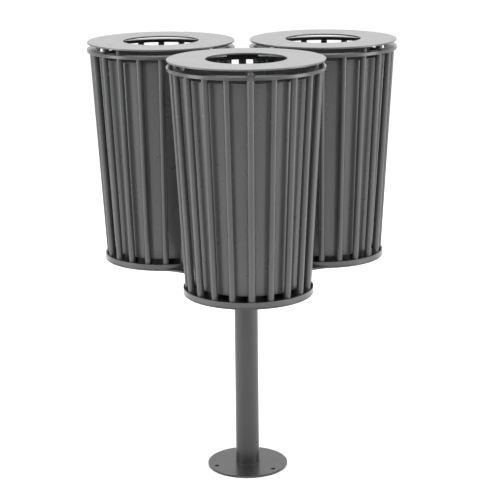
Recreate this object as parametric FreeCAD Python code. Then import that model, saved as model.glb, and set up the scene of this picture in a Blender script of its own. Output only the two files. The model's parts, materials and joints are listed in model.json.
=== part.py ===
import FreeCAD, Part

import math
import os

# Triple litter bin on one post, in millimetres, +Z up.
# A tube post on a round base plate carries a three-lobed tray. A tapered cage
# of round bars stands on each lobe and ends under a flat hoop. Each
# cage holds a sheet-steel liner under a flat ring lid, hinged on its inner side
# (towards the post) and kept shut by a turn latch on its outer side.
# The origin is the centre of the base plate's underside. The front basket
# stands towards -Y.

VEC = FreeCAD.Vector
UP = VEC(0, 0, 1)
ORIGIN = VEC(0, 0, 0)

# Layout of the baskets
BASKET_REACH = 236.0            # from the post's axis to each basket's axis
BEARINGS = {"front": 270.0, "left": 150.0, "right": 30.0}
CAGE_TURNS = {"front": 1.4, "left": -4.9, "right": 0.8}     # cage about its own axis, as welded

# Base plate and post
BASE_R = 103.0
BASE_T = 6.0
ANCHOR_PCD = 170.0
ANCHOR_HOLE_R = 6.0
ANCHOR_BEARING = 78.5
POST_R = 30.15
POST_WALL = 3.0
HEAD_R = 70.0
HEAD_T = 8.0

# Tray
TRAY_BOTTOM = 535.0
TRAY_T = 5.0
TRAY_TOP = TRAY_BOTTOM + TRAY_T
LOBE_R = 155.6
BAY_R = 92.0                    # concave bays between the lobes
DRAIN_R = 6.0

# Arms that hold up the tray's lobes
ARM_T = 6.0
ARM_REACH = 300.0
ARM_ROOT_DEPTH = 55.0
ARM_TIP_DEPTH = 14.0

# M10 bolts that hold the tray to the head plate
BOLT_PCD = 105.0
BOLT_R = 5.0
BOLT_HOLE_R = 5.5
BOLT_HEAD_T = 6.4
BOLT_LENGTH = 30.0
NUT_T = 8.4
HEX_R = 17.0 / math.sqrt(3)     # corner radius of a 17 mm hexagon
WASHER_R = 10.5
WASHER_T = 2.0

# Cage of bars
BAR_COUNT = 20
BAR_R = 8.0
BAR_FOOT_REACH = 142.6
BAR_HEAD_REACH = 171.5
HINGE_BAR_R = 9.0               # the inward bar, under the hinge
HINGE_BAR_FOOT_REACH = 141.6
REST_BAR_R = 9.0                # the outward bar, flush with the top of the hoop
REST_BAR_FOOT_REACH = 141.6
REST_BAR_HEAD_REACH = 178.0
REST_BAR_TOP = 1078.0
BAND_T = 4.0
BAND_H = 11.0

# Top hoop, a flat ring
HOOP_R = 186.0
HOOP_INNER_R = 162.0
HOOP_T = 8.0
HOOP_TOP = 1078.0
HOOP_BOTTOM = HOOP_TOP - HOOP_T
NOTCH_R = 9.4                   # lets the leaning outward bar through
SEAM_BEARING = 45.0             # keeps the revolved section's seam away from the holes

# Lid
LID_R = 185.0
MOUTH_R = 95.0
LID_BOTTOM = 1091.0
LID_T = 4.0

# Studs and rubber buffers that the lid rests on
REST_STUD_R = 7.0
REST_COLLAR_R = 19.0 / math.sqrt(3)     # corner radius of the stud's 19 mm hexagon
REST_COLLAR_H = 4.5
SIDE_STUD_R = 6.0
SIDE_STUD_REACH = 175.0
STUD_TOP = 1087.0
SHANK_R = 3.0
SHANK_LENGTH = 15.0
BUFFER_R = 5.5
BUFFER_GAP = 0.2                # buffers end just under the lid

# Lid hinge, its axis level and square to the basket's outward direction
HINGE_REACH = -179.0
HINGE_Z = 1084.5
HINGE_WIDTH = 68.0
KNUCKLE_WIDTH = 33.4            # the lid's knuckle, between the two fixed ones
KNUCKLE_GAP = 0.3
FIXED_KNUCKLE_R = 6.0
LID_KNUCKLE_R = 5.7
LEAF_T = 3.0
LEAF_LENGTH = 24.0
PIN_R = 3.0
PIN_FIT = 0.05                  # radial running clearance on pin and spindle
PIN_HEAD_R = 5.0
PIN_HEAD_T = 2.0
PIN_TAIL = 3.0
CLIP_T = 1.2
CLIP_GAP = 4.0
GUARD_REACH = -164.0            # low plate that keeps litter out of the hinge
GUARD_T = 3.0
GUARD_WIDTH = 76.0
GUARD_H = 5.0

# Turn latch under the lid, just inside the outward bar
LATCH_REACH = 140.0
BOSS_R = 7.5
BOSS_BOTTOM = 1069.5
SPINDLE_R = 3.0
SPINDLE_HEAD_R = 4.8
SPINDLE_HEAD_T = 3.0
COUNTERBORE_GAP = 0.3
CAM_T = 3.0
CAM_W = 12.0
CAM_GAP = 0.5                   # below the boss
CAM_REACH = 26.0
WING_H = 10.0
WING_T = 7.0
WING_LENGTH = 20.0

# Liner
LINER_BOTTOM = 560.0
LINER_FOOT_R = 129.0
LINER_HEAD_R = 155.5
LINER_WALL = 1.2
LINER_FLOOR = 1.5
BEAD_R = 2.2
BEAD_REACH = 155.8
BEAD_Z = 1058.3
SEEP_R = 3.0
SEEP_REACH = 60.0
SEAT_R = 15.0
SEAT_REACH = 95.0

THIRDS = (60.0, 180.0, 300.0)
EDGE = 0.8                      # rounding of cut plate edges
CUT_SPARE = 1.0                 # how far a cutting tool runs past a face


def polar(reach, degrees, z=0.0):
    angle = math.radians(degrees)
    return VEC(reach * math.cos(angle), reach * math.sin(angle), z)


def disc(radius, bottom, top, centre=ORIGIN):
    return Part.makeCylinder(radius, top - bottom, VEC(centre.x, centre.y, bottom), UP)


def ring(outer, inner, bottom, top):
    bore = disc(inner, bottom - CUT_SPARE, top + CUT_SPARE)
    return disc(outer, bottom, top).cut(bore)


def hexagon(corner_radius, bottom, top, centre):
    corners = [centre + polar(corner_radius, 60.0 * i + 30.0, bottom) for i in range(7)]
    face = Part.Face(Part.makePolygon(corners))
    return face.extrude(UP * (top - bottom))


def slanted_bar(radius, foot_reach, head_reach, bottom, top, bearing):
    """A leaning round bar whose ends are cut level."""
    foot = polar(foot_reach, bearing, bottom)
    head = polar(head_reach, bearing, top)
    circle = Part.Wire(Part.makeCircle(radius, foot, UP))
    return Part.Face(circle).extrude(head - foot)


def rounded(solid, radius, keep):
    """Round the edges for which keep(edge) is true."""
    edges = [edge for edge in solid.Edges if keep(edge)]
    return solid.makeFillet(radius, edges)


def is_rim(edge, radius):
    curve = edge.Curve
    return isinstance(curve, Part.Circle) and abs(curve.Radius - radius) < EDGE / 2


def in_basket(shape, name):
    """Move a shape from a basket's own frame (+X outward) to its place on the tray."""
    moved = shape.copy()
    moved.rotate(ORIGIN, UP, BEARINGS[name] + CAGE_TURNS[name])
    moved.translate(polar(BASKET_REACH, BEARINGS[name]))
    return moved


def save(node, solids):
    shape = solids[0] if len(solids) == 1 else Part.makeCompound(solids)
    if not shape.isValid():
        raise ValueError(node + " is not a valid shape")
    shape.exportStep("parts/" + node + ".step")


# Pedestal

def base_plate():
    plate = rounded(disc(BASE_R, 0.0, BASE_T), EDGE, lambda edge: is_rim(edge, BASE_R))
    for i in range(3):
        centre = polar(ANCHOR_PCD / 2, ANCHOR_BEARING + 120.0 * i)
        plate = plate.cut(disc(ANCHOR_HOLE_R, -CUT_SPARE, BASE_T + CUT_SPARE, centre))
    return plate


def post():
    return ring(POST_R, POST_R - POST_WALL, BASE_T, TRAY_BOTTOM - HEAD_T)


def bolt_places():
    """The bolts stand midway between the arms."""
    return [polar(BOLT_PCD / 2, bearing - 60.0) for bearing in BEARINGS.values()]


def drilled(plate, bottom, top):
    for place in bolt_places():
        plate = plate.cut(disc(BOLT_HOLE_R, bottom - CUT_SPARE, top + CUT_SPARE, place))
    return plate


def head_plate():
    bottom = TRAY_BOTTOM - HEAD_T
    return drilled(disc(HEAD_R, bottom, TRAY_BOTTOM), bottom, TRAY_BOTTOM)


def tray_outline():
    """Three round lobes joined by concave arcs that are tangent to them."""
    lobes = [polar(BASKET_REACH, bearing) for bearing in sorted(BEARINGS.values())]
    half_span = BASKET_REACH * math.sin(math.radians(60.0))
    mid_reach = BASKET_REACH * math.cos(math.radians(60.0))
    bay_reach = mid_reach + math.sqrt((LOBE_R + BAY_R) ** 2 - half_span ** 2)
    bays = [polar(bay_reach, bearing + 60.0) for bearing in sorted(BEARINGS.values())]
    edges = []
    for i, lobe in enumerate(lobes):
        before = bays[i - 1]
        after = bays[i]
        start = lobe + (before - lobe) * (LOBE_R / (LOBE_R + BAY_R))
        end = lobe + (after - lobe) * (LOBE_R / (LOBE_R + BAY_R))
        tip = lobe * ((BASKET_REACH + LOBE_R) / BASKET_REACH)
        edges.append(Part.Arc(start, tip, end).toShape())
        next_lobe = lobes[(i + 1) % 3]
        bay_end = next_lobe + (after - next_lobe) * (LOBE_R / (LOBE_R + BAY_R))
        bay_bottom = after * ((bay_reach - BAY_R) / bay_reach)
        edges.append(Part.Arc(end, bay_bottom, bay_end).toShape())
    return Part.Wire(edges)


def tray():
    face = Part.Face(tray_outline())
    face.translate(UP * TRAY_BOTTOM)
    plate = face.extrude(UP * TRAY_T)
    plate = rounded(plate, EDGE, lambda edge: abs(edge.BoundBox.ZLength) < EDGE / 2)
    plate = drilled(plate, TRAY_BOTTOM, TRAY_TOP)
    for bearing in BEARINGS.values():
        centre = polar(BASKET_REACH, bearing)
        plate = plate.cut(disc(DRAIN_R, TRAY_BOTTOM - CUT_SPARE, TRAY_TOP + CUT_SPARE, centre))
    return plate


def tray_arm(bearing):
    """A flat bar on edge under the tray, notched for the head plate."""
    under_head = TRAY_BOTTOM - HEAD_T
    profile = [
        (POST_R - POST_WALL / 2, TRAY_BOTTOM - ARM_ROOT_DEPTH),
        (ARM_REACH, TRAY_BOTTOM - ARM_TIP_DEPTH),
        (ARM_REACH, TRAY_BOTTOM),
        (HEAD_R, TRAY_BOTTOM),
        (HEAD_R, under_head),
        (POST_R - POST_WALL / 2, under_head),
    ]
    points = [VEC(x, -ARM_T / 2, z) for x, z in profile]
    face = Part.Face(Part.makePolygon(points + points[:1]))
    arm = face.extrude(VEC(0, ARM_T, 0))
    arm = arm.cut(disc(POST_R, 0.0, under_head))
    arm = arm.cut(disc(HEAD_R, under_head, TRAY_BOTTOM + CUT_SPARE))
    arm.rotate(ORIGIN, UP, bearing)
    return arm


def tray_bolt(place):
    seat = TRAY_TOP + WASHER_T
    head = hexagon(HEX_R, seat, seat + BOLT_HEAD_T, place)
    return head.fuse(disc(BOLT_R, seat - BOLT_LENGTH, seat, place)).removeSplitter()


def washers(place):
    """One washer under the bolt's head and one over its nut."""
    under_head = TRAY_BOTTOM - HEAD_T
    spans = ((TRAY_TOP, TRAY_TOP + WASHER_T), (under_head - WASHER_T, under_head))
    hole = disc(BOLT_HOLE_R, under_head - WASHER_T, TRAY_TOP + WASHER_T, place)
    return [disc(WASHER_R, low, high, place).cut(hole) for low, high in spans]


def tray_nut(place):
    top = TRAY_BOTTOM - HEAD_T - WASHER_T
    nut = hexagon(HEX_R, top - NUT_T, top, place)
    return nut.cut(disc(BOLT_R, top - NUT_T - CUT_SPARE, top + CUT_SPARE, place))


# Cage, in the basket's own frame

def bottom_band():
    outer = LOBE_R
    band = ring(outer, outer - BAND_T, TRAY_TOP, TRAY_TOP + BAND_H)
    return rounded(band, EDGE, lambda edge: edge.BoundBox.ZMin > TRAY_TOP)


def side_stud_bearings():
    return (90.0, -90.0)


def cage_bars():
    bars = []
    for i in range(1, BAR_COUNT):
        bearing = 360.0 / BAR_COUNT * i
        if bearing == 180.0:
            bar = slanted_bar(HINGE_BAR_R, HINGE_BAR_FOOT_REACH, BAR_HEAD_REACH,
                              TRAY_TOP, HOOP_BOTTOM, bearing)
        else:
            bar = slanted_bar(BAR_R, BAR_FOOT_REACH, BAR_HEAD_REACH,
                              TRAY_TOP, HOOP_BOTTOM, bearing)
        bars.append(bar)
    for bearing in side_stud_bearings():
        centre = polar(SIDE_STUD_REACH, bearing)
        hole = disc(SHANK_R, HOOP_TOP - SHANK_LENGTH, HOOP_TOP, centre)
        bars = [bar.cut(hole) if bar.common(hole).Volume > 0 else bar for bar in bars]
    return bars


def rest_bar():
    bar = slanted_bar(REST_BAR_R, REST_BAR_FOOT_REACH, REST_BAR_HEAD_REACH,
                      TRAY_TOP, REST_BAR_TOP, 0.0)
    centre = polar(REST_BAR_HEAD_REACH, 0.0)
    return bar.cut(disc(SHANK_R, REST_BAR_TOP - SHANK_LENGTH, REST_BAR_TOP, centre))


def top_hoop():
    section = [
        (HOOP_INNER_R, HOOP_BOTTOM),
        (HOOP_R - EDGE, HOOP_BOTTOM),
        (HOOP_R, HOOP_BOTTOM + EDGE),
        (HOOP_R, HOOP_TOP - EDGE),
        (HOOP_R - EDGE, HOOP_TOP),
        (HOOP_INNER_R + EDGE, HOOP_TOP),
        (HOOP_INNER_R, HOOP_TOP - EDGE),
    ]
    points = [VEC(x, 0, z) for x, z in section]
    face = Part.Face(Part.makePolygon(points + points[:1]))
    hoop = face.revolve(ORIGIN, UP, 360.0)
    hoop.rotate(ORIGIN, UP, SEAM_BEARING)
    lean = (REST_BAR_HEAD_REACH - REST_BAR_FOOT_REACH) / (REST_BAR_TOP - TRAY_TOP)
    notch_centre = polar(REST_BAR_HEAD_REACH - lean * HOOP_T / 2, 0.0)
    holes = [(NOTCH_R, notch_centre)]
    holes += [(SHANK_R, polar(SIDE_STUD_REACH, bearing)) for bearing in side_stud_bearings()]
    for radius, centre in holes:
        hoop = hoop.cut(disc(radius, HOOP_BOTTOM - CUT_SPARE, HOOP_TOP + CUT_SPARE, centre))
    return hoop


def stud(radius, reach, bearing, bottom):
    """A round stud on a shank, with its head's edges rounded."""
    centre = polar(reach, bearing)
    head = rounded(disc(radius, bottom, STUD_TOP, centre), EDGE,
                   lambda edge: is_rim(edge, radius) and edge.BoundBox.ZMin > bottom)
    return head.fuse(disc(SHANK_R, bottom - SHANK_LENGTH, bottom, centre))


def rest_stud():
    """The outward stud, with a hexagonal collar to screw it down by."""
    centre = polar(REST_BAR_HEAD_REACH, 0.0)
    collar = hexagon(REST_COLLAR_R, REST_BAR_TOP, REST_BAR_TOP + REST_COLLAR_H, centre)
    return stud(REST_STUD_R, REST_BAR_HEAD_REACH, 0.0, REST_BAR_TOP).fuse(collar).removeSplitter()


def buffer(reach, bearing):
    centre = polar(reach, bearing)
    body = disc(BUFFER_R, STUD_TOP, LID_BOTTOM - BUFFER_GAP, centre)
    return rounded(body, EDGE, lambda edge: is_rim(edge, BUFFER_R) and edge.BoundBox.ZMin > STUD_TOP)


# Lid and hinge, in the basket's own frame

def lid():
    plate = ring(LID_R, MOUTH_R, LID_BOTTOM, LID_BOTTOM + LID_T)
    return rounded(plate, EDGE, lambda edge: is_rim(edge, LID_R) or is_rim(edge, MOUTH_R))


def across(radius, start, end):
    """A cylinder on the hinge's axis, between two places along it."""
    return Part.makeCylinder(radius, end - start, VEC(HINGE_REACH, start, HINGE_Z), VEC(0, 1, 0))


def fixed_knuckles():
    inner = KNUCKLE_WIDTH / 2 + KNUCKLE_GAP
    outer = HINGE_WIDTH / 2
    blocks = []
    for start, end in ((-outer, -inner), (inner, outer)):
        foot = Part.makeBox(2 * FIXED_KNUCKLE_R, end - start, HINGE_Z - HOOP_TOP,
                            VEC(HINGE_REACH - FIXED_KNUCKLE_R, start, HOOP_TOP))
        foot = foot.common(disc(HOOP_R, HOOP_TOP, HINGE_Z))
        block = foot.fuse(across(FIXED_KNUCKLE_R, start, end)).removeSplitter()
        blocks.append(block.cut(across(PIN_R + PIN_FIT, start - CUT_SPARE, end + CUT_SPARE)))
    return blocks


def lid_leaf():
    half = KNUCKLE_WIDTH / 2
    plate = Part.makeBox(LEAF_LENGTH, KNUCKLE_WIDTH, LEAF_T,
                         VEC(HINGE_REACH, -half, LID_BOTTOM - LEAF_T))
    leaf = plate.fuse(across(LID_KNUCKLE_R, -half, half)).removeSplitter()
    return leaf.cut(across(PIN_R + PIN_FIT, -half - CUT_SPARE, half + CUT_SPARE))


def hinge_pin():
    half = HINGE_WIDTH / 2
    shaft = across(PIN_R, -half - PIN_TAIL, half)
    return shaft.fuse(across(PIN_HEAD_R, half, half + PIN_HEAD_T)).removeSplitter()


def hinge_clip():
    end = -HINGE_WIDTH / 2
    clip = across(PIN_HEAD_R, end - CLIP_T, end).cut(across(PIN_R, end - CLIP_T, end))
    slot = Part.makeBox(CLIP_GAP, CLIP_T, PIN_HEAD_R,
                        VEC(HINGE_REACH - CLIP_GAP / 2, end - CLIP_T, HINGE_Z - PIN_HEAD_R))
    return clip.cut(slot)


def hinge_guard():
    return Part.makeBox(GUARD_T, GUARD_WIDTH, GUARD_H,
                        VEC(GUARD_REACH - GUARD_T / 2, -GUARD_WIDTH / 2, HOOP_TOP))


# Turn latch, in the basket's own frame

def latch_boss():
    centre = polar(LATCH_REACH, 0.0)
    boss = disc(BOSS_R, BOSS_BOTTOM, LID_BOTTOM, centre)
    boss = boss.cut(disc(SPINDLE_R + PIN_FIT, BOSS_BOTTOM - CUT_SPARE, LID_BOTTOM, centre))
    counterbore = disc(SPINDLE_HEAD_R + COUNTERBORE_GAP,
                       LID_BOTTOM - SPINDLE_HEAD_T - COUNTERBORE_GAP, LID_BOTTOM, centre)
    return boss.cut(counterbore)


def latch_handle():
    """The spindle, with a head inside the boss and a finger wing at the bottom."""
    centre = polar(LATCH_REACH, 0.0)
    wing_top = BOSS_BOTTOM - CAM_GAP - CAM_T
    head_top = LID_BOTTOM - COUNTERBORE_GAP / 2
    head = disc(SPINDLE_HEAD_R, head_top - SPINDLE_HEAD_T, head_top, centre)
    spindle = disc(SPINDLE_R, wing_top, head_top, centre)
    wing = Part.makeBox(WING_T, WING_LENGTH, WING_H,
                        VEC(-WING_T / 2, -WING_LENGTH / 2, wing_top - WING_H))
    wing = wing.makeFillet(WING_T / 3, [edge for edge in wing.Edges if edge.BoundBox.ZLength > EDGE])
    wing.translate(centre)
    return spindle.fuse(head).fuse(wing).removeSplitter()


def latch_cam():
    """Parked square to the outward direction; a quarter turn puts its tip under the hoop."""
    top = BOSS_BOTTOM - CAM_GAP
    arm = Part.makeBox(CAM_W, CAM_REACH, CAM_T, VEC(-CAM_W / 2, -CAM_REACH, top - CAM_T))
    arm = arm.fuse(disc(CAM_W / 2, top - CAM_T, top)).removeSplitter()
    arm = arm.cut(disc(SPINDLE_R, top - CAM_T, top))
    arm.translate(polar(LATCH_REACH, 0.0))
    return arm


# Liner, in the basket's own frame

def liner():
    wall = LINER_WALL
    profile = [
        (0.0, LINER_BOTTOM),
        (LINER_FOOT_R, LINER_BOTTOM),
        (LINER_HEAD_R, BEAD_Z),
        (LINER_HEAD_R - wall, BEAD_Z),
        (LINER_FOOT_R - wall, LINER_BOTTOM + LINER_FLOOR),
        (0.0, LINER_BOTTOM + LINER_FLOOR),
    ]
    points = [VEC(x, 0, z) for x, z in profile]
    face = Part.Face(Part.makePolygon(points + points[:1]))
    can = face.revolve(ORIGIN, UP, 360.0)
    can = can.fuse(Part.makeTorus(BEAD_REACH, BEAD_R, VEC(0, 0, BEAD_Z), UP))
    for bearing in THIRDS:
        centre = polar(SEEP_REACH, bearing)
        top = LINER_BOTTOM + LINER_FLOOR + CUT_SPARE
        can = can.cut(disc(SEEP_R, LINER_BOTTOM - CUT_SPARE, top, centre))
    return can


def liner_seats():
    """Rubber blocks on the tray, under the liner's floor."""
    seats = []
    for bearing in THIRDS:
        seat = disc(SEAT_R, TRAY_TOP, LINER_BOTTOM, polar(SEAT_REACH, bearing))
        seats.append(seat)
    return seats


def main():
    os.makedirs("parts", exist_ok=True)
    places = bolt_places()

    save("base_plate", [base_plate()])
    save("post", [post()])
    save("head_plate", [head_plate()])
    save("tray_arms", [tray_arm(bearing) for bearing in BEARINGS.values()])
    save("tray", [tray()])
    save("tray_bolts", [tray_bolt(place) for place in places])
    save("tray_washers", [washer for place in places for washer in washers(place)])
    save("tray_nuts", [tray_nut(place) for place in places])

    cage_pieces = {
        "bottom_band": [bottom_band()],
        "cage_bars": cage_bars(),
        "rest_bar": [rest_bar()],
        "top_hoop": [top_hoop()],
        "hinge_knuckles": fixed_knuckles(),
        "hinge_pin": [hinge_pin()],
        "lid": [lid()],
        "lid_leaf": [lid_leaf()],
        "latch_boss": [latch_boss()],
        "latch_handle": [latch_handle()],
        "latch_cam": [latch_cam()],
        "liner": [liner()],
    }
    for name in BEARINGS:
        for piece, solids in cage_pieces.items():
            save(piece + "_" + name, [in_basket(solid, name) for solid in solids])

    side_studs = [stud(SIDE_STUD_R, SIDE_STUD_REACH, bearing, HOOP_TOP)
                  for bearing in side_stud_bearings()]
    buffers = [buffer(REST_BAR_HEAD_REACH, 0.0)]
    buffers += [buffer(SIDE_STUD_REACH, bearing) for bearing in side_stud_bearings()]
    shared_pieces = {
        "rest_studs": [rest_stud()],
        "side_studs": side_studs,
        "lid_buffers": buffers,
        "hinge_clips": [hinge_clip()],
        "hinge_guards": [hinge_guard()],
        "liner_seats": liner_seats(),
    }
    for node, solids in shared_pieces.items():
        save(node, [in_basket(solid, name) for name in BEARINGS for solid in solids])


main()
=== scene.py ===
import json
import math
import random

import bmesh
import bpy
from mathutils import Matrix, Vector


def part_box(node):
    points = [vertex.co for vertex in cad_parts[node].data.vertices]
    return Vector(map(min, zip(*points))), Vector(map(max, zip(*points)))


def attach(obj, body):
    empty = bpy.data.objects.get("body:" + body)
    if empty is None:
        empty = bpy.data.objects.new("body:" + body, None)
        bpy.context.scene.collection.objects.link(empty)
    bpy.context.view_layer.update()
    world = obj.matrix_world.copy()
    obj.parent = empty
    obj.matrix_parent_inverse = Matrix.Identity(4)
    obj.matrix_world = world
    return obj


# Looks for the triple litter bin: materials, weld beads, floor, light and camera.
# Metres, in the frame of the CAD model: the origin is under the post, the front
# basket stands towards -Y. Greys and colours are linear.

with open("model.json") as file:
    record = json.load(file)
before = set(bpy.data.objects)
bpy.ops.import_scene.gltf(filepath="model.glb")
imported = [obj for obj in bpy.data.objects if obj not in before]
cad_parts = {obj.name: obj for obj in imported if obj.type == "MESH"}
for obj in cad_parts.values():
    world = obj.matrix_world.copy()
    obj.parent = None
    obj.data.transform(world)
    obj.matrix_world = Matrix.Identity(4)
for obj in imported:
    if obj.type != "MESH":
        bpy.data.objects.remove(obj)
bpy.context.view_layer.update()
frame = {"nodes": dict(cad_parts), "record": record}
NODES = frame["nodes"]
BASKETS = ("front", "left", "right")
UP = Vector((0.0, 0.0, 1.0))
random.seed(7)

# Powder coat of each painted slot: material name, grey and roughness.
# All four are one anthracite coat; their greys differ as painted light and shade:
# the lid's grey is raised as painted light for its lit top, the stand's lowered as painted
# shade, cage and liner set between for how light falls on them.
PAINTS_LIT_AND_SHADED = {
    "stand_paint": ("stand_powder_coat_painted_shade", 0.021, 0.30),
    "cage_paint": ("cage_powder_coat", 0.043, 0.25),
    "lid_paint": ("lid_powder_coat_painted_light", 0.075, 0.27),
    "liner_paint": ("liner_powder_coat", 0.052, 0.28),
}
PAINT_TINT = Vector((0.98, 0.985, 1.02))    # anthracite is slightly blue
PAINT_IOR = 1.5
MOTTLE_DARK = 0.93              # shares of the paint's grey
MOTTLE_LIGHT = 1.08
WORN_EDGE_GREY = 1.9
DUST_GREY = 1.7
DUST_COVER = 0.12
WORN_EDGE_R = 0.0012            # how far the wear reaches from an edge
EDGE_SAMPLES = 4
SHARP_EDGE = 0.80               # cosine between bevelled and true normal on a full edge
OPEN_FACE = 0.99                # and on a face without wear
SMOOTHER = -0.015               # spread of a coat's roughness
ROUGHER = 0.025

# Weld beads
POST_FOOT_WELD = 0.0016         # radius of each bead's cross-section
POST_HEAD_WELD = 0.0024
BAR_FOOT_WELD = 0.0018
BAR_HEAD_WELD = 0.0014
BEAD_SIDES = 8                  # corners of a bead's cross-section
RIPPLE_PITCH = 1.1              # spacing of the ripples, in cross-section radii
RIPPLE_STEPS = 4                # rings per ripple
RIPPLE_HEIGHT = 0.10            # share of the cross-section's radius
WAVE_HEIGHT = 0.05
WAVES = 3                       # slow waves round a bead
FEWEST_RIPPLES = 12
PHASE_SPAN = 6.28
MERGE_DISTANCE = 1e-6           # vertices this close are one

# Stage
FLOOR_SIZE = 60.0
FLOOR_ROUGHNESS = 0.6
CARD_PLACE = (0.0, -5.6, 1.9)
CARD_SIZE = (5.0, 3.8, 1.0)
CARD_ROUGHNESS = 0.9
WORLD_STRENGTH = 1.1
BIN_CENTRE = (0.0, 0.0, 0.7)

# Softboxes: name, place, aim, width and height, watts
SOFTBOXES = (
    ("top_softbox", (0.0, -0.3, 3.6), BIN_CENTRE, (3.5, 3.5), 110.0),
    ("front_softbox", (0.0, -3.4, 2.9), (0.0, 0.0, 1.0), (3.4, 1.2), 45.0),
    ("back_softbox", (0.0, 4.5, 3.0), (0.0, 0.0, 1.1), (5.0, 2.6), 18.0),
    ("left_softbox", (-3.2, -0.9, 1.5), BIN_CENTRE, (1.4, 2.8), 60.0),
    ("right_softbox", (3.2, -0.9, 1.5), BIN_CENTRE, (1.4, 2.8), 66.0),
)

# Camera
CAMERA_PLACE = Vector((-0.102, -3.952, 1.600))
CAMERA_HEADING = 1.643          # degrees from +Y towards +X
CAMERA_PITCH = 14.516           # degrees down
CAMERA_ROLL = -0.573            # degrees
CAMERA_LENS = 116.2             # millimetres
CAMERA_SENSOR = 36.0


# Material helpers

class Shader:
    """Builds one material's node tree with short calls."""

    def __init__(self, name):
        self.material = bpy.data.materials.new(name)
        self.material.use_nodes = True
        self.tree = self.material.node_tree
        self.surface = self.tree.nodes["Principled BSDF"]
        self.place = self.node("ShaderNodeTexCoord").outputs["Object"]

    def node(self, kind, **settings):
        made = self.tree.nodes.new(kind)
        for key, value in settings.items():
            setattr(made, key, value)
        return made

    def link(self, source, target):
        self.tree.links.new(source, target)

    def noise(self, scale, detail=2.0, roughness=0.5, stretch=(1.0, 1.0, 1.0)):
        mapping = self.node("ShaderNodeMapping")
        mapping.inputs["Scale"].default_value = stretch
        self.link(self.place, mapping.inputs["Vector"])
        noise = self.node("ShaderNodeTexNoise")
        noise.inputs["Scale"].default_value = scale
        noise.inputs["Detail"].default_value = detail
        noise.inputs["Roughness"].default_value = roughness
        self.link(mapping.outputs["Vector"], noise.inputs["Vector"])
        return noise.outputs["Fac"]

    def span(self, value, low, high, start=0.3, end=0.7):
        """Map a value that runs from start to end onto low to high."""
        mapped = self.node("ShaderNodeMapRange")
        mapped.inputs["From Min"].default_value = start
        mapped.inputs["From Max"].default_value = end
        mapped.inputs["To Min"].default_value = low
        mapped.inputs["To Max"].default_value = high
        self.link(value, mapped.inputs["Value"])
        return mapped.outputs["Result"]

    def blend(self, factor, first, second):
        """Mix two colours, each a socket or three numbers."""
        mix = self.node("ShaderNodeMix", data_type="RGBA")
        self.link(factor, mix.inputs["Factor"])
        for socket, colour in ((mix.inputs["A"], first), (mix.inputs["B"], second)):
            if isinstance(colour, bpy.types.NodeSocket):
                self.link(colour, socket)
            else:
                socket.default_value = (*colour, 1.0)
        return mix.outputs["Result"]

    def product(self, first, second):
        """Multiply a socket by a socket or a number."""
        times = self.node("ShaderNodeMath", operation="MULTIPLY")
        self.link(first, times.inputs[0])
        if isinstance(second, bpy.types.NodeSocket):
            self.link(second, times.inputs[1])
        else:
            times.inputs[1].default_value = second
        return times.outputs["Value"]

    def edges(self, radius):
        """1 along outside edges, 0 on open faces, from a bevelled normal."""
        bevel = self.node("ShaderNodeBevel", samples=EDGE_SAMPLES)
        bevel.inputs["Radius"].default_value = radius
        geometry = self.node("ShaderNodeNewGeometry")
        dot = self.node("ShaderNodeVectorMath", operation="DOT_PRODUCT")
        self.link(bevel.outputs["Normal"], dot.inputs[0])
        self.link(geometry.outputs["Normal"], dot.inputs[1])
        return self.span(dot.outputs["Value"], 1.0, 0.0, start=SHARP_EDGE, end=OPEN_FACE)

    def bump(self, height, strength, distance, under=None):
        """Feed a bump to the surface, on top of the bump under it."""
        bump = self.node("ShaderNodeBump")
        bump.inputs["Strength"].default_value = strength
        bump.inputs["Distance"].default_value = distance
        self.link(height, bump.inputs["Height"])
        if under is not None:
            self.link(under, bump.inputs["Normal"])
        self.link(bump.outputs["Normal"], self.surface.inputs["Normal"])
        return bump.outputs["Normal"]

    def set(self, **values):
        for name, value in values.items():
            self.surface.inputs[name.replace("_", " ")].default_value = value

    def feed(self, **sockets):
        for name, socket in sockets.items():
            self.link(socket, self.surface.inputs[name.replace("_", " ")])


# Materials

def powder_coat(name, grey, roughness):
    """Fine-textured anthracite powder coat, a little paler on its edges and where dust lies."""
    shader = Shader(name)
    # grey carries painted light and shade: each slot's copy of the one coat is lighter or darker
    # by how light falls on it
    paint = PAINT_TINT * grey
    mottle = shader.span(shader.noise(scale=7.0, detail=4.0), 0.0, 1.0)
    colour = shader.blend(mottle, tuple(paint * MOTTLE_DARK), tuple(paint * MOTTLE_LIGHT))
    patches = shader.span(shader.noise(scale=90.0, detail=3.0), 0.15, 0.55)
    wear = shader.product(shader.edges(WORN_EDGE_R), patches)
    colour = shader.blend(wear, colour, tuple(paint * WORN_EDGE_GREY))
    specks = shader.span(shader.noise(scale=520.0, detail=1.0), 0.0, 1.0, start=0.70, end=0.76)
    dust = shader.product(specks, DUST_COVER)
    colour = shader.blend(dust, colour, tuple(paint * DUST_GREY))
    spread = shader.noise(scale=24.0, detail=5.0, roughness=0.6)
    rough = shader.span(spread, roughness + SMOOTHER, roughness + ROUGHER)
    shader.feed(Base_Color=colour, Roughness=rough)
    peel = shader.bump(shader.noise(scale=950.0), strength=0.12, distance=0.0001)
    shader.bump(shader.noise(scale=140.0), strength=0.05, distance=0.0002, under=peel)
    shader.set(IOR=PAINT_IOR)
    return shader.material


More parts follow.
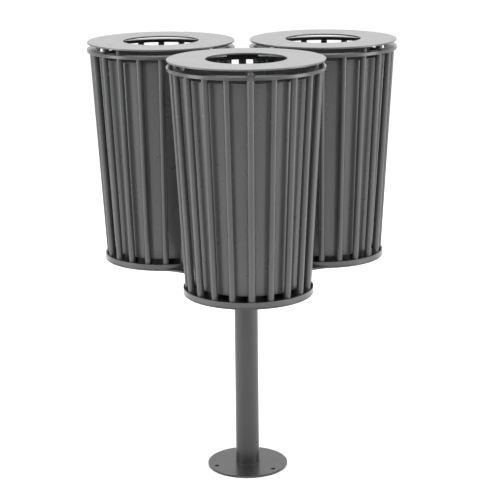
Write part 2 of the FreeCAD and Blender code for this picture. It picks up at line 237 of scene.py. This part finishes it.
def zinc_plate(name):
    """Bright zinc on turned steel: pale, slightly blue, faintly blotched."""
    shader = Shader(name)
    blotch = shader.span(shader.noise(scale=160.0, detail=4.0, roughness=0.6), 0.0, 1.0)
    colour = shader.blend(blotch, (0.42, 0.43, 0.45), (0.60, 0.61, 0.62))
    stain = shader.span(shader.noise(scale=45.0, detail=3.0), 0.0, 0.5, start=0.55, end=0.75)
    colour = shader.blend(stain, colour, (0.30, 0.28, 0.25))
    rough = shader.span(shader.noise(scale=300.0, detail=3.0), 0.28, 0.45)
    shader.feed(Base_Color=colour, Roughness=rough)
    lathe_marks = shader.noise(scale=600.0, stretch=(1.0, 1.0, 0.2))
    shader.bump(lathe_marks, strength=0.15, distance=0.0001)
    shader.set(Metallic=1.0)
    return shader.material


def black_rubber(name):
    """Matt moulded rubber with a pale bloom."""
    shader = Shader(name)
    bloom = shader.span(shader.noise(scale=60.0, detail=5.0, roughness=0.6), 0.0, 1.0)
    colour = shader.blend(bloom, (0.016, 0.016, 0.017), (0.035, 0.034, 0.033))
    rough = shader.span(shader.noise(scale=180.0, detail=3.0), 0.70, 0.88)
    shader.feed(Base_Color=colour, Roughness=rough)
    shader.bump(shader.noise(scale=800.0, detail=3.0), strength=0.30, distance=0.00015)
    return shader.material


def studio_floor(name):
    """Pale, matt and very faintly clouded."""
    shader = Shader(name)
    clouds = shader.span(shader.noise(scale=3.0, detail=3.0), 0.0, 1.0)
    shader.feed(Base_Color=shader.blend(clouds, (0.92, 0.92, 0.92), (0.94, 0.94, 0.94)))
    shader.set(Roughness=FLOOR_ROUGHNESS)
    return shader.material


def black_card(name):
    shader = Shader(name)
    nap = shader.span(shader.noise(scale=40.0, detail=3.0), 0.0, 1.0)
    shader.feed(Base_Color=shader.blend(nap, (0.02, 0.02, 0.02), (0.03, 0.03, 0.03)))
    shader.set(Roughness=CARD_ROUGHNESS)
    return shader.material


FINISHES = {slot: powder_coat(*paint) for slot, paint in PAINTS_LIT_AND_SHADED.items()}
FINISHES["zinc_steel"] = zinc_plate("zinc_plate")
FINISHES["rubber"] = black_rubber("black_rubber")


def dress_cad_nodes():
    for part in frame["record"]["subparts"]:
        mesh = NODES[part["node"]].data
        mesh.materials.clear()
        mesh.materials.append(FINISHES[part["material_slot"]])


# Weld beads

def new_piece(name, mesh, slot, body):
    """Put a smooth-shaded mesh on a body, in the finish of its slot."""
    piece = bpy.data.objects.new(name, mesh)
    bpy.context.scene.collection.objects.link(piece)
    mesh.materials.append(FINISHES[slot])
    for face in mesh.polygons:
        face.use_smooth = True
    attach(piece, body)


def solids_of(node):
    """The vertices of each separate solid in a CAD node."""
    work = bmesh.new()
    work.from_mesh(NODES[node].data)
    bmesh.ops.remove_doubles(work, verts=work.verts, dist=MERGE_DISTANCE)
    left = set(work.verts)
    groups = []
    while left:
        queue = [left.pop()]
        group = []
        while queue:
            vert = queue.pop()
            group.append(vert.co.copy())
            for edge in vert.link_edges:
                other = edge.other_vert(vert)
                if other in left:
                    left.remove(other)
                    queue.append(other)
        groups.append(group)
    work.free()
    return groups


def level_circle(points, level, reach=0.0004):
    """Centre and radius of the round end of a solid at a height."""
    rim = [p for p in points if abs(p.z - level) < reach]
    low = Vector((min(p.x for p in rim), min(p.y for p in rim), level))
    high = Vector((max(p.x for p in rim), max(p.y for p in rim), level))
    return (low + high) / 2, (high.x - low.x) / 2


def bead_rings(centre, radius, bead_radius, ripples, phase):
    """Rings of points along one rippled bead, a closed tube laid round a circle."""
    steps = ripples * RIPPLE_STEPS
    rings = []
    for i in range(steps):
        turn = 2 * math.pi * i / steps
        ripple = RIPPLE_HEIGHT * math.cos(turn * ripples + phase)
        wave = WAVE_HEIGHT * math.sin(WAVES * turn + phase)
        out = Vector((math.cos(turn), math.sin(turn), 0.0))
        middle = centre + out * radius
        ring = []
        for j in range(BEAD_SIDES):
            angle = 2 * math.pi * j / BEAD_SIDES
            across = out * math.cos(angle) + UP * math.sin(angle)
            ring.append(middle + across * bead_radius * (1.0 + ripple + wave))
        rings.append(ring)
    return rings


def tube_faces(steps, first):
    """Quads of a closed tube of steps rings whose vertices start at first."""
    faces = []
    for i in range(steps):
        for j in range(BEAD_SIDES):
            here = first + i * BEAD_SIDES
            there = first + (i + 1) % steps * BEAD_SIDES
            after = (j + 1) % BEAD_SIDES
            faces.append((here + j, there + j, there + after, here + after))
    return faces


def weld_beads(name, circles, bead_radius, slot):
    """One piece of the stand, with a bead round each (centre, radius)."""
    vertices = []
    faces = []
    for centre, radius in circles:
        ripples = max(FEWEST_RIPPLES, round(2 * math.pi * radius / (bead_radius * RIPPLE_PITCH)))
        phase = random.uniform(0, PHASE_SPAN)
        rings = bead_rings(centre, radius, bead_radius, ripples, phase)
        faces += tube_faces(len(rings), len(vertices))
        vertices += [tuple(point) for ring in rings for point in ring]
    mesh = bpy.data.meshes.new(name)
    mesh.from_pydata(vertices, [], faces)
    mesh.validate()
    work = bmesh.new()
    work.from_mesh(mesh)
    bmesh.ops.recalc_face_normals(work, faces=work.faces)
    work.to_mesh(mesh)
    work.free()
    new_piece(name, mesh, slot, "stand")


def add_post_welds():
    low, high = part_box("post")
    radius = (high.x - low.x) / 2
    foot = Vector((0.0, 0.0, low.z))
    weld_beads("post_foot_weld", [(foot, radius)], POST_FOOT_WELD, "stand_paint")
    head = Vector((0.0, 0.0, high.z))
    weld_beads("post_head_weld", [(head, radius)], POST_HEAD_WELD, "stand_paint")


def add_bar_welds(basket):
    """Every bar is welded to the tray, and all but the rest bar end under the hoop."""
    bars = solids_of("cage_bars_" + basket)
    rest_bar = solids_of("rest_bar_" + basket)
    low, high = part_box("cage_bars_" + basket)
    feet = [level_circle(points, low.z) for points in bars + rest_bar]
    weld_beads("bar_foot_welds_" + basket, feet, BAR_FOOT_WELD, "cage_paint")
    heads = [level_circle(points, high.z) for points in bars]
    weld_beads("bar_head_welds_" + basket, heads, BAR_HEAD_WELD, "cage_paint")


# Stage

def add_floor():
    bpy.ops.mesh.primitive_plane_add(size=FLOOR_SIZE, location=(0.0, 0.0, 0.0))
    floor = bpy.context.object
    floor.name = "studio_floor"
    floor.data.materials.append(studio_floor("studio_floor"))


def add_flag():
    """A black card behind the camera keeps the front of the bars from going flat."""
    upright = (math.radians(90.0), 0.0, 0.0)
    bpy.ops.mesh.primitive_plane_add(size=1.0, location=CARD_PLACE, rotation=upright)
    flag = bpy.context.object
    flag.name = "black_flag"
    flag.scale = CARD_SIZE
    flag.visible_camera = False
    flag.visible_diffuse = False
    flag.visible_shadow = False
    flag.data.materials.append(black_card("black_card"))


def add_world():
    world = bpy.data.worlds.new("studio")
    world.use_nodes = True
    background = world.node_tree.nodes["Background"]
    background.inputs["Color"].default_value = (1.0, 1.0, 1.0, 1.0)
    background.inputs["Strength"].default_value = WORLD_STRENGTH
    bpy.context.scene.world = world


def add_softbox(name, location, aim, size, power):
    data = bpy.data.lights.new(name, "AREA")
    data.shape = "RECTANGLE"
    data.size, data.size_y = size
    data.energy = power
    lamp = bpy.data.objects.new(name, data)
    lamp.location = location
    lamp.rotation_euler = (Vector(aim) - Vector(location)).to_track_quat("-Z", "Y").to_euler()
    bpy.context.scene.collection.objects.link(lamp)


def add_camera():
    data = bpy.data.cameras.new("camera")
    data.sensor_width = CAMERA_SENSOR
    data.lens = CAMERA_LENS
    camera = bpy.data.objects.new("camera", data)
    heading = math.radians(CAMERA_HEADING)
    pitch = math.radians(CAMERA_PITCH)
    roll = math.radians(CAMERA_ROLL)
    ahead = Vector((math.sin(heading), math.cos(heading), 0.0))
    level = Vector((math.cos(heading), -math.sin(heading), 0.0))
    forward = ahead * math.cos(pitch) - UP * math.sin(pitch)
    upward = level.cross(forward)
    right = level * math.cos(roll) + upward * math.sin(roll)
    up = upward * math.cos(roll) - level * math.sin(roll)
    turned = Matrix((right, up, -forward)).transposed().to_4x4()
    camera.matrix_world = Matrix.Translation(CAMERA_PLACE) @ turned
    bpy.context.scene.collection.objects.link(camera)
    bpy.context.scene.camera = camera


dress_cad_nodes()
add_post_welds()
for basket in BASKETS:
    add_bar_welds(basket)
add_floor()
add_flag()
add_world()
for softbox in SOFTBOXES:
    add_softbox(*softbox)
add_camera()
bpy.context.scene.view_settings.view_transform = "Standard"
